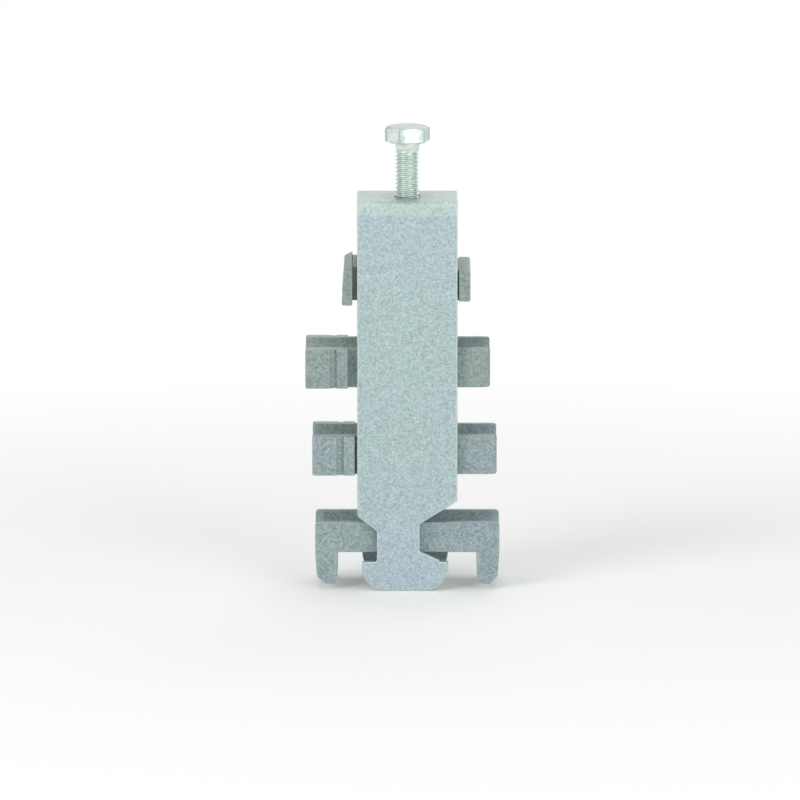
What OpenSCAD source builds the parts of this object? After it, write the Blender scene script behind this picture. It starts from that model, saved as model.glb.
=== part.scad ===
// Upright saddle clamp: a hooked steel strap, four moulded saddles between its legs and a bolt.
// Millimetres. X runs along the saddles and the bores between them, Y across them, Z up the clamp.
// The origin is the middle of the counter saddle's flat seat.

/* [Bores] */
// Diameter of each of the three bores between the saddles
cable_d = 18; // [14:0.5:24]
// Thickness of saddle left between two neighbouring bores
cable_web = 4; // [3:0.5:8]
// Depth of a cradle's rim below the bore's centre line
cradle_drop = 5.3; // [4:0.1:6]
// Height of a pressing face's rim above the bore's centre line
press_rise = 6.8; // [6:0.1:7.5]

/* [Strap] */
// Width of the steel strip
strap_w = 25; // [20:0.5:32]
// Thickness of the steel strip
strap_t = 2; // [1.5:0.1:3]
// Radius inside each bend
bend_r = 1.5; // [0.5:0.1:3]
// Room between a bore and each leg
leg_room = 0.5; // [0.3:0.1:1]
// Height of the web's inner face above the top bore's centre line
web_rise = 29.7; // [27:0.1:36]
// Depth of the drawn collar that holds the thread
collar_h = 2.6; // [1.5:0.1:4]
// Wall of the drawn collar round the thread
collar_wall = 1.5; // [1:0.1:2]

/* [Hooks] */
// Width of the narrow neck of each leg
neck_w = 10.7; // [8:0.1:12]
// Distance of the neck to the left of the strap's middle
neck_offset = 2.25; // [0:0.05:3]
// Height at which the left edge turns in to the neck
left_turn = 9.5; // [8:0.1:12]
// Height at which the left slope meets the neck
left_foot = 5.7; // [3:0.1:7]
// Height at which the right edge turns in to the neck
right_turn = 13.4; // [10:0.1:16]
// Height at which the right slope meets the neck
right_foot = 7.5; // [4:0.1:9]
// Width of the hook
hook_w = 21.5; // [19:0.1:24]
// Distance of the hook's middle to the left of the strap's middle
hook_offset = 0.55; // [0:0.05:1]
// Height of the hook
hook_h = 7.4; // [6:0.1:10]
// Radius of the hook's two lower corners
hook_r = 5.8; // [2:0.1:5.9]
// Height above the seat at which the neck's right side starts to widen
flare_start = 0.6; // [0.2:0.1:1.5]

/* [Hook fit] */
// Width of the slot that the hooks fit
slot_w = 17; // [16:0.5:18]
// Thickness held between the seat and the hooks' upper edges
lip_t = 2; // [1.5:0.1:3]

/* [Saddles] */
// Clear gap between a saddle and the inner face of a leg
guide_gap = 0.35; // [0.2:0.05:0.6]
// Length of the two middle saddles and the counter saddle
saddle_l = 46; // [42:0.5:60]
// Radius of the outline corners of the middle and pressure saddles
saddle_r = 0.5; // [0.3:0.1:1.5]
// Length of the flare at both ends of a bore
flare_l = 1; // [0.5:0.1:2]
// Amount by which a flare opens the bore
flare_open = 0.6; // [0.3:0.1:1]
// Chamfer on the end of a saddle that is pushed in between the legs
lead_in = 1; // [0.5:0.1:1.5]
// Length of a middle saddle's head, which stays outside the legs
head_l = 10.6; // [9:0.1:14]
// Distance by which a head stops short of the leg's front face
head_inset = 0.3; // [0.1:0.1:1]
// Distance of the lower saddle's head from the legs
lower_standoff = 0.6; // [0.3:0.1:3]
// Distance of the upper saddle's head from the legs
upper_standoff = 2.3; // [0.3:0.1:3]
// Distance from a head's outer end to its grip groove
groove_from = 5.7; // [4:0.1:6]
// Width of the grip groove
groove_w = 2.2; // [1:0.1:2.4]
// Depth of the grip groove
groove_d = 0.9; // [0.3:0.1:1.2]

/* [Counter saddle] */
// Thickness of the counter saddle under its bore
base_t = 4; // [3.5:0.1:6]
// Radius of the counter saddle's upper corners
counter_r = 1; // [0.5:0.1:1.5]
// Clear width between the counter saddle's two legs
straddle_w = 34.8; // [31:0.1:36]
// Length of those legs below the seat
straddle_h = 8; // [6:0.5:12]
// Amount by which the outside of each leg leans in from the seat down to its chamfer
leg_draft = 0.4; // [0.1:0.1:1]
// Chamfer on the outside of each leg's tip
tip_chamfer = 2; // [1:0.1:3]
// Lead-in taper on the inside of each leg's tip
tip_taper = 0.75; // [0.3:0.05:1]
// Depth of the four pockets in the seat
pocket_h = 2; // [1:0.1:2.2]
// Width of the ribs between the pockets
pocket_rib = 2; // [1.5:0.1:3]
// Distance of the pockets' outer edges from the middle
pocket_reach = 7.5; // [6:0.1:8]

/* [Pressure saddle] */
// Distance of the pressure saddle's right end from the strap's middle
press_right = 15.7; // [14.8:0.1:20]
// Distance of the left head from the legs
press_standoff = 1.2; // [0.5:0.1:3]
// Distance of the right head from the legs
press_guide = 0.35; // [0.2:0.05:0.8]
// Length of the left head
press_head_l = 2.65; // [2.2:0.05:6]
// Height by which the left head stands above the body
press_head_over = 1.4; // [1.1:0.1:1.6]
// Depth by which the left head reaches below the body
press_head_drop = 1; // [0.2:0.1:1.2]
// Amount by which the left head's top falls towards its end
press_slope = 0.8; // [0.1:0.1:1]
// Draft of the left head's end face
press_draft = 0.7; // [0.2:0.1:1]
// Height of the shoulder that backs the left head
shoulder_h = 0.9; // [0.3:0.1:1]
// Distance of the shoulder's foot from the strap's middle
shoulder_from = 9; // [8.5:0.5:11]
// Thickness of saddle between the bore and the rivet's recess
press_floor = 1.6; // [1.2:0.1:3]
// Thickness of the two lips that snap over the thrust plate
lip_over_t = 1.1; // [0.8:0.1:2]
// Width by which each lip reaches over the thrust plate
lip_over_w = 0.5; // [0.3:0.1:1]

/* [Thrust plate] */
// Length of the plate along the saddles
plate_l = 14; // [10:0.5:18]
// Width of the plate across the saddles
plate_w = 12; // [11:0.1:13]
// Thickness of the plate
plate_t = 1.5; // [1:0.1:2.5]
// Clear gap between the plate and its pocket
plate_gap = 0.1; // [0.05:0.05:0.3]

/* [Bolt] */
// Nominal thread diameter
thread_d = 6; // [5:0.5:8]
// Radial clearance of the bolt in the tapped collar
thread_gap = 0.05; // [0.02:0.01:0.1]
// Width of the hexagon across its flats
hex_af = 10; // [8:0.5:13]
// Height of the bolt head
hex_h = 4; // [3:0.1:6]
// Angle by which the hexagon is turned from the saddles' length
hex_turn = 14; // [0:1:59]
// Height of the head above the strap
bolt_out = 13.6; // [12:0.5:20]
// Diameter of the spigot that turns in the thrust plate
spigot_d = 3.9; // [3:0.1:4.2]
// Radial clearance of the spigot in the plate
spigot_gap = 0.05; // [0.02:0.01:0.1]
// Diameter of the riveted end below the plate
rivet_d = 5.4; // [4.8:0.1:5.6]
// Thickness of the riveted end
rivet_h = 1; // [0.6:0.1:1.5]
// End play of the bolt in the plate
rivet_play = 0.1; // [0.05:0.05:0.2]

/* [Hidden] */
$fn = 64;
cut = 1;

// Centre lines of the bores, from the lowest to the highest
cable_r = cable_d / 2;
pitch = cable_d + cable_web;
cable_z = [for (i = [0:2]) base_t + cable_r + i * pitch];

// Strap
leg_in = cable_r + leg_room;
leg_out = leg_in + strap_t;
web_in = cable_z[2] + web_rise;
strap_top = web_in + strap_t;
strap_edge = strap_w / 2;
neck_left = -neck_offset - neck_w / 2;
neck_right = -neck_offset + neck_w / 2;
hook_top = -lip_t;
hook_bottom = hook_top - hook_h;
hook_left = -hook_offset - hook_w / 2;
hook_right = -hook_offset + hook_w / 2;
flare_x = slot_w / 2 - 0.5;
flare_end = hook_top + 0.4;
edge_r = 0.5;
turn_r = 1.5;
tap_r = thread_d / 2;
collar_r = tap_r + collar_wall;
collar_root = 0.8;
tap_chamfer = 0.6;

// Saddles
body_y = leg_in - guide_gap;
head_y = leg_out - head_inset;
tuck = 2;

// Pressure saddle, from its bore upwards
press_bottom = cable_z[2] + press_rise;
recess_floor = cable_z[2] + cable_r + press_floor;
plate_bottom = recess_floor + rivet_h + rivet_play + 0.1;
plate_top = plate_bottom + plate_t;
press_top = plate_top + plate_gap + lip_over_t;
press_left = -strap_edge - press_standoff;
press_inner = strap_edge + press_guide;

// Bolt
shank_r = tap_r - thread_gap;
spigot_r = spigot_d / 2;
plate_hole_r = spigot_r + spigot_gap;
rivet_r = rivet_d / 2;
rivet_side_gap = 0.3;
head_z = strap_top + bolt_out;
washer_h = 0.3;
tip_cone = 0.7;

// Colours
galvanised = [0.70, 0.77, 0.78];
grey_plastic = [0.60, 0.67, 0.65];
zinc = [0.80, 0.83, 0.82];
steel = [0.66, 0.68, 0.68];

function unit(v) = v / norm(v);

// How the outline turns at point i: above 0 at an outer corner, below 0 at an inner one
function turn_at(pts, i) =
    let (n = len(pts), a = pts[(i + n - 1) % n], p = pts[i], b = pts[(i + 1) % n])
    cross(p - a, b - p);

// The sliver between a corner and the arc that rounds it
module corner_sliver(a, p, b, r) {
    u = unit(a - p);
    v = unit(b - p);
    half = acos(u * v) / 2;
    centre = p + unit(u + v) * r / sin(half);
    difference() {
        polygon([p + u * r / tan(half), p + (p - centre) * 0.35, p + v * r / tan(half)]);
        translate(centre) circle(r = r);
    }
}

module slivers(pts, radii, side) {
    n = len(pts);
    for (i = [0:n - 1])
        if (radii[i] > 0 && side * turn_at(pts, i) > 0)
            corner_sliver(pts[(i + n - 1) % n], pts[i], pts[(i + 1) % n], radii[i]);
}

// An outline, counter-clockwise, with its own radius at each corner
module rounded(pts, radii) {
    difference() {
        union() {
            polygon(pts);
            slivers(pts, radii, -1);
        }
        slivers(pts, radii, 1);
    }
}

// Draws a front view (X, Z) and gives it depth along Y
module front_view(half_depth) {
    translate([0, half_depth, 0]) rotate([90, 0, 0])
        linear_extrude(height = 2 * half_depth) children();
}

// Draws an end view (Y, Z) and gives it length along X
module end_view(from, to) {
    translate([from, 0, 0]) rotate([90, 0, 90])
        linear_extrude(height = to - from) children();
}

// Draws a plan (X, Y) and gives it height along Z
module plan(from, to) {
    translate([0, 0, from]) linear_extrude(height = to - from) children();
}

// One bore, with a flare at each end of the saddle that it crosses
module cable_space(z, from, to) {
    wide = cable_r + flare_open * (1 + cut / flare_l);
    translate([0, 0, z]) rotate([0, 90, 0]) rotate_extrude($fn = 96)
        polygon([[0, from - cut], [wide, from - cut], [cable_r, from + flare_l],
                 [cable_r, to - flare_l], [wide, to + cut], [0, to + cut]]);
}

// Strap

module strap_bend_view() {
    low = hook_bottom - cut;
    pts = [[-leg_out, low], [-leg_in, low], [-leg_in, web_in], [leg_in, web_in],
           [leg_in, low], [leg_out, low], [leg_out, strap_top], [-leg_out, strap_top]];
    outer = bend_r + strap_t;
    rounded(pts, [0, 0, bend_r, bend_r, 0, 0, outer, outer]);
}

module strap_front_view() {
    pts = [[hook_left, hook_bottom], [hook_right, hook_bottom],
           [hook_right, hook_top], [flare_x, hook_top], [flare_x, flare_end],
           [neck_right, flare_start], [neck_right, right_foot],
           [strap_edge, right_turn], [strap_edge, strap_top + cut],
           [-strap_edge, strap_top + cut], [-strap_edge, left_turn],
           [neck_left, left_foot], [neck_left, hook_top], [hook_left, hook_top]];
    rounded(pts, [hook_r, hook_r, edge_r, 0, 0, edge_r, edge_r,
                  edge_r, 0, 0, turn_r, edge_r, edge_r, edge_r]);
}

module collar() {
    translate([0, 0, web_in]) rotate_extrude()
        difference() {
            translate([0, -collar_h]) square([collar_r + collar_root, collar_h + strap_t / 2]);
            translate([collar_r + collar_root, -collar_root]) circle(r = collar_root);
            translate([collar_r, -collar_h - cut]) square([2 * collar_root, collar_h + cut - collar_root]);
        }
}

module tapped_hole() {
    bottom = web_in - collar_h;
    translate([0, 0, bottom - cut]) cylinder(h = strap_top - bottom + 2 * cut, r = tap_r);
    translate([0, 0, strap_top - tap_chamfer])
        cylinder(h = tap_chamfer + cut, r1 = tap_r, r2 = tap_r + tap_chamfer + cut);
}

module strap() {
    color(galvanised) difference() {
        union() {
            intersection() {
                end_view(-strap_edge - cut, strap_edge + cut) strap_bend_view();
                front_view(leg_out + cut) strap_front_view();
            }
            collar();
        }
        tapped_hole();
    }
}

// Counter saddle, which carries the others

// The space between the two legs, wider at the tips
module straddle_view() {
    in = straddle_w / 2;
    rise = tip_chamfer - straddle_h;
    slope = tip_taper / tip_chamfer;
    low = -straddle_h - cut;
    low_in = in + tip_taper + cut * slope;
    rounded([[-low_in, low], [low_in, low], [in, rise], [in, 0], [-in, 0], [-in, rise]],
            [0, 0, 0, edge_r, edge_r, 0]);
}

module counter_front_view() {
    x = saddle_l / 2;
    top = cable_z[0] - cradle_drop;
    tip = -straddle_h;
    rise = tip + tip_chamfer;
    foot = x - leg_draft;
    difference() {
        rounded([[tip_chamfer - foot, tip], [foot - tip_chamfer, tip], [foot, rise], [x, 0],
                 [x, top], [-x, top], [-x, 0], [-foot, rise]],
                [edge_r, edge_r, 0, 0, counter_r, counter_r, 0, 0]);
        straddle_view();
    }
}

module seat_pocket() {
    from = pocket_rib / 2;
    size = pocket_reach - from;
    r = edge_r;
    plan(-cut, pocket_h)
        rounded([[from, from], [from + size, from], [from + size, from + size], [from, from + size]],
                [r, r, r, r]);
}

module counter_saddle() {
    color(grey_plastic) difference() {
        front_view(body_y) counter_front_view();
        cable_space(cable_z[0], -saddle_l / 2, saddle_l / 2);
        for (sx = [0, 1], sy = [0, 1]) mirror([sx, 0, 0]) mirror([0, sy, 0]) seat_pocket();
    }
}

// Middle saddles, pushed in from the left between the legs

module saddle_body_plan(from, to) {
    y = body_y;
    polygon([[from, -y], [to - lead_in, -y], [to, -y + lead_in],
             [to, y - lead_in], [to - lead_in, y], [from, y]]);
}

module saddle_block(left, right, bottom, top, r_left, r_right) {
    rounded([[left, bottom], [right, bottom], [right, top], [left, top]],
            [r_left, r_right, r_right, r_left]);
}

module head_plan(left, right) {
    r = saddle_r;
    rounded([[left, -head_y], [right, -head_y], [right, head_y], [left, head_y]],
            [r, edge_r, edge_r, r]);
}

module grip_grooves(x, bottom, top) {
    for (side = [0, 1]) mirror([0, side, 0])
        translate([x, -head_y, 0]) plan(bottom - cut, top + cut)
            polygon([[0, 0], [0, -cut], [groove_w, -cut], [groove_w, 0],
                     [groove_w * 0.85, groove_d], [groove_w * 0.5, groove_d * 0.8]]);
}

module middle_saddle(tier, standoff) {
    right_of_head = -strap_edge - standoff;
    left = right_of_head - head_l;
    right = left + saddle_l;
    bottom = cable_z[tier] + press_rise;
    top = cable_z[tier + 1] - cradle_drop;
    color(grey_plastic) difference() {
        union() {
            intersection() {
                front_view(body_y + cut) saddle_block(left + tuck, right, bottom, top, 0, saddle_r);
                plan(bottom - cut, top + cut) saddle_body_plan(left + tuck, right);
            }
            intersection() {
                front_view(head_y + cut)
                    saddle_block(left, right_of_head, bottom, top, saddle_r, saddle_r);
                plan(bottom - cut, top + cut) head_plan(left, right_of_head);
            }
        }
        cable_space(cable_z[tier], left, right);
        cable_space(cable_z[tier + 1], left, right);
        grip_grooves(left + groove_from, bottom, top);
    }
}

module lower_saddle() {
    middle_saddle(0, lower_standoff);
}

module upper_saddle() {
    middle_saddle(1, upper_standoff);
}

// Pressure saddle, carried by the bolt and guided on the legs by a head at each end

module press_body_view(from, to) {
    rounded([[from, press_bottom], [to, press_bottom], [to, press_top], [from, press_top]],
            [0, saddle_r, saddle_r, 0]);
}

module press_shoulder_view() {
    from = press_left - saddle_r;
    base = press_top - tuck;
    high = press_top + shoulder_h;
    polygon([[from, base], [-shoulder_from, base], [-shoulder_from, press_top],
             [-strap_edge, high], [from, high]]);
}

module press_head_view() {
    bottom = press_bottom - press_head_drop;
    top = press_top + press_head_over;
    left = press_left - press_head_l;
    rounded([[left, bottom], [press_left, bottom], [press_left, top],
             [left + press_draft, top - press_slope]],
            [saddle_r, edge_r, 0, saddle_r]);
}

// Pocket that the plate snaps into from above, with a recess for the rivet in its floor
module plate_pocket() {
    x = plate_l / 2 + plate_gap;
    y = plate_w / 2 + plate_gap;
    mouth_y = plate_w / 2 - lip_over_w;
    r = edge_r;
    plan(plate_bottom, plate_top + plate_gap)
        translate([-x, -y]) square([2 * x, 2 * y]);
    plan(plate_top + plate_gap / 2, press_top + cut)
        rounded([[-x, -mouth_y], [x, -mouth_y], [x, mouth_y], [-x, mouth_y]], [r, r, r, r]);
    translate([0, 0, recess_floor])
        cylinder(h = plate_bottom + plate_t / 2 - recess_floor, r = rivet_r + rivet_side_gap);
}

module pressure_saddle() {
    left = press_left - press_head_l;
    from = press_left - press_head_l / 2;
    to = press_right - tuck / 2;
    low = press_bottom - press_head_drop - cut;
    high = press_top + press_head_over + cut;
    color(grey_plastic) difference() {
        union() {
            front_view(body_y) {
                press_body_view(from, to);
                press_shoulder_view();
            }
            intersection() {
                front_view(head_y + cut) press_head_view();
                plan(low, high) head_plan(left, press_left);
            }
            intersection() {
                front_view(head_y + cut) press_body_view(press_inner - cut, press_right);
                plan(low, high) head_plan(press_inner, press_right);
            }
        }
        cable_space(cable_z[2], left, press_right);
        plate_pocket();
    }
}

module thrust_plate() {
    r = 1;
    x = plate_l / 2;
    y = plate_w / 2;
    color(steel) difference() {
        plan(plate_bottom, plate_top)
            rounded([[-x, -y], [x, -y], [x, y], [-x, y]], [r, r, r, r]);
        translate([0, 0, plate_bottom - cut]) cylinder(h = plate_t + 2 * cut, r = plate_hole_r);
    }
}

// Bolt

module hex_head() {
    corner_r = hex_af / 2 / cos(30);
    wide = corner_r + cut;
    flat_r = hex_af * 0.475;
    side = hex_h - (wide - flat_r) * tan(30);
    translate([0, 0, head_z]) intersection() {
        translate([0, 0, washer_h]) rotate([0, 0, hex_turn])
            cylinder(h = hex_h - washer_h, r = corner_r, $fn = 6);
        rotate_extrude() polygon([[0, 0], [wide, 0], [wide, side], [flat_r, hex_h], [0, hex_h]]);
    }
}

// Washer face, shank, spigot and riveted end, turned in one
module turned_shank() {
    spigot_end = plate_bottom - rivet_play;
    washer_r = hex_af * 0.46;
    rotate_extrude()
        polygon([[0, spigot_end - rivet_h], [rivet_r - 0.5, spigot_end - rivet_h],
                 [rivet_r, spigot_end - rivet_h / 2], [rivet_r, spigot_end],
                 [spigot_r, spigot_end], [spigot_r, plate_top],
                 [shank_r - tip_cone, plate_top], [shank_r, plate_top + tip_cone],
                 [shank_r, head_z], [washer_r, head_z],
                 [washer_r, head_z + 2 * washer_h], [0, head_z + 2 * washer_h]]);
}

module bolt() {
    color(zinc) union() {
        hex_head();
        turned_shank();
    }
}

strap();
counter_saddle();
lower_saddle();
upper_saddle();
pressure_saddle();
thrust_plate();
bolt();
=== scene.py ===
"""The looks of a saddle clamp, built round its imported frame.

The strap and the thrust plate take the frame's own solids with their edges broken. The four
moulded saddles and the threaded bolt are meshes of their own that fill the same space.
"""

import logging
import math
from dataclasses import dataclass, field
from enum import Enum
from typing import Callable, Iterable, Sequence

import bmesh
import bpy
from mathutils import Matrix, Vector


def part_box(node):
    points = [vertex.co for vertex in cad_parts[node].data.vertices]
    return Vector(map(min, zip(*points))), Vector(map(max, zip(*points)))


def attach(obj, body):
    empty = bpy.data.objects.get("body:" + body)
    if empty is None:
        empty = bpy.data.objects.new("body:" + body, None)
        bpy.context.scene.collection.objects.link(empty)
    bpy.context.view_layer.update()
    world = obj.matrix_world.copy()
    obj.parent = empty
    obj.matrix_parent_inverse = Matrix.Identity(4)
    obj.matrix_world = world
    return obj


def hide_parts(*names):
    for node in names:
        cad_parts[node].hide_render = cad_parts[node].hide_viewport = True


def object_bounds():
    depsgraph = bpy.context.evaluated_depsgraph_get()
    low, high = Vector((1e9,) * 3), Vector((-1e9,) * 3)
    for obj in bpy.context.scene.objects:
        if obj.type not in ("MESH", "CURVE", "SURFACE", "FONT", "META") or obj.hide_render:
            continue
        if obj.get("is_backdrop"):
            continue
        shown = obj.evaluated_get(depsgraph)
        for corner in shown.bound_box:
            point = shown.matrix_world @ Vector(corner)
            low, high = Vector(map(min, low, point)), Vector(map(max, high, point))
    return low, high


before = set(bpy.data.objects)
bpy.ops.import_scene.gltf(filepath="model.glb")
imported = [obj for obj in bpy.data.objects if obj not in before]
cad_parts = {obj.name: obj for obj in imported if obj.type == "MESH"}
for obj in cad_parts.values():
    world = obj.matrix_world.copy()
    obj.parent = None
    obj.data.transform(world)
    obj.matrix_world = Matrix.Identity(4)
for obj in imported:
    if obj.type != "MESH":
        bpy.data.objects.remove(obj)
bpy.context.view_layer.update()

LOG = logging.getLogger("cable_clamp")
MM = 0.001
TINY = 1e-7
EDGE_MARK = "edge"

Colour = tuple[float, float, float, float]
Point = tuple[float, float]
Range = tuple[float, float]
Socket = bpy.types.NodeSocket
Shell = bmesh.types.BMesh
Shift = Callable[[float, float], float]

WHITE: Colour = (1.0, 1.0, 1.0, 1.0)
GREY: Colour = (0.5, 0.5, 0.5, 1.0)


class Body(Enum):
    """The moving bodies of the clamp, by their names in the frame."""

    STRAP = "strap"
    COUNTER = "counter_saddle"
    LOWER = "lower_saddle"
    UPPER = "upper_saddle"
    PRESSURE = "pressure_saddle"
    BOLT = "bolt"


class Slot(Enum):
    """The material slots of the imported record."""

    GALVANISED = "galvanised_steel"
    PLASTIC = "grey_plastic"
    STEEL = "plain_steel"
    ZINC = "bright_zinc"


def srgb(red: float, green: float, blue: float) -> Colour:
    """Turns a screen colour, 0 to 255 in each part, into the linear one that a shader takes."""
    shares = [part / 255 for part in (red, green, blue)]
    return (*(s / 12.92 if s <= 0.04045 else ((s + 0.055) / 1.055) ** 2.4 for s in shares), 1.0)


def span(start: float, end: float, steps: int) -> list[float]:
    """Evenly spaced values from start to end, both included."""
    return [start + (end - start) * i / steps for i in range(steps + 1)]


def limited(value: float) -> float:
    """The value, kept between 0 and 1."""
    return max(0.0, min(1.0, value))


def round_over(distance: float, radius: float) -> float:
    """How far a round has dropped an edge, from its whole radius at the end to 0 further in."""
    in_round = max(0.0, radius - distance)
    return radius - math.sqrt(max(0.0, radius**2 - in_round**2))


def end_stations(end: float, inward: float, radius: float, steps: int) -> list[float]:
    """Places that follow the round of an end, from there inwards, which is 1 or -1 along X."""
    return [end + inward * radius * (1 - math.cos(a)) for a in span(0.0, math.pi / 2, steps)]


def added(name: str, data: bpy.types.ID) -> bpy.types.Object:
    """Makes an object and puts it in the scene.

    Args:
        name: The object's name.
        data: Its mesh, light or camera.

    Returns:
        The object.
    """
    made = bpy.data.objects.new(name, data)
    bpy.context.scene.collection.objects.link(made)
    return made


class Graph:
    """A node tree while it is being wired."""

    def __init__(self, tree: bpy.types.NodeTree) -> None:
        """Takes the tree to be wired."""
        self.tree = tree

    def put(self, socket: Socket, value: object) -> None:
        """Links an input to an output, or sets it to a value.

        Args:
            socket: The input.
            value: The output, or the value.
        """
        if isinstance(value, Socket):
            self.tree.links.new(value, socket)
        else:
            socket.default_value = value

    def add(self, kind: str, **inputs: object) -> bpy.types.Node:
        """Adds a node and sets or links its named inputs.

        Args:
            kind: The node's type in Blender.
            **inputs: Values or sockets, by input name with underscores for spaces.

        Returns:
            The new node.
        """
        node = self.tree.nodes.new(kind)
        for name, value in inputs.items():
            self.put(node.inputs[name.replace("_", " ")], value)
        return node

    def feed(self, node: bpy.types.Node, *values: object) -> Socket:
        """Sets or links a node's inputs in their order.

        Args:
            node: The node.
            *values: Values or sockets.

        Returns:
            The node's first output.
        """
        for socket, value in zip(node.inputs, values):
            self.put(socket, value)
        return node.outputs[0]

    def maths(self, operation: str, *values: object, clamp: bool = False) -> Socket:
        """Adds a Math node.

        Args:
            operation: What it works out.
            *values: Its inputs in order.
            clamp: Whether the result is kept between 0 and 1.

        Returns:
            The result.
        """
        node = self.add("ShaderNodeMath")
        node.operation, node.use_clamp = operation, clamp
        return self.feed(node, *values)

    def blend(self, factor: object, low: object, high: object) -> Socket:
        """Adds a colour mix.

        Args:
            factor: Share of the second colour.
            low: The first colour.
            high: The second colour.

        Returns:
            The mixed colour.
        """
        node = self.add("ShaderNodeMix")
        node.data_type = "RGBA"
        inputs = [node.inputs[0], *(s for s in node.inputs if s.type == "RGBA")]
        for socket, value in zip(inputs, (factor, low, high)):
            self.put(socket, value)
        return next(s for s in node.outputs if s.type == "RGBA")

    def remap(self, value: object, low: float, high: float, to_low: float = 0.0,
              to_high: float = 1.0) -> Socket:
        """Maps a value from one range to another, kept inside it.

        Args:
            value: The value.
            low: Start of its range.
            high: End of its range.
            to_low: What the start becomes.
            to_high: What the end becomes.

        Returns:
            The mapped value.
        """
        node = self.add("ShaderNodeMapRange", Value=value, From_Min=low, From_Max=high,
                        To_Min=to_low, To_Max=to_high)
        node.clamp = True
        return node.outputs["Result"]

    def place(self) -> Socket:
        """The point on the piece, in metres."""
        return self.add("ShaderNodeTexCoord").outputs["Object"]

    def noise(self, vector: object, scale: object, detail: float = 2.0) -> bpy.types.Node:
        """Adds a noise texture on a vector."""
        return self.add("ShaderNodeTexNoise", Vector=vector, Scale=scale, Detail=detail)

    def split(self, vector: Socket) -> bpy.types.NodeOutputs:
        """X, Y and Z of a vector."""
        return self.add("ShaderNodeSeparateXYZ", Vector=vector).outputs

    def tones(self, colour: Socket) -> bpy.types.NodeOutputs:
        """Red, green and blue of a colour."""
        return self.add("ShaderNodeSeparateColor", Color=colour).outputs

    def off_axis(self, parts: bpy.types.NodeOutputs) -> Socket:
        """Distance from the clamp's upright axis, from the parts of a point."""
        squares = [self.maths("POWER", parts[name], 2.0) for name in "XY"]
        return self.maths("SQRT", self.maths("ADD", *squares))

    def seen(self) -> Socket:
        """Whether a ray comes from the camera, a mirror or clear glass.

        Returns:
            1 if it does, 0 if not.
        """
        path = self.add("ShaderNodeLightPath").outputs
        mirrored = self.maths("MAXIMUM", path["Is Glossy Ray"], path["Is Transmission Ray"])
        return self.maths("MAXIMUM", path["Is Camera Ray"], mirrored)


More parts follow.
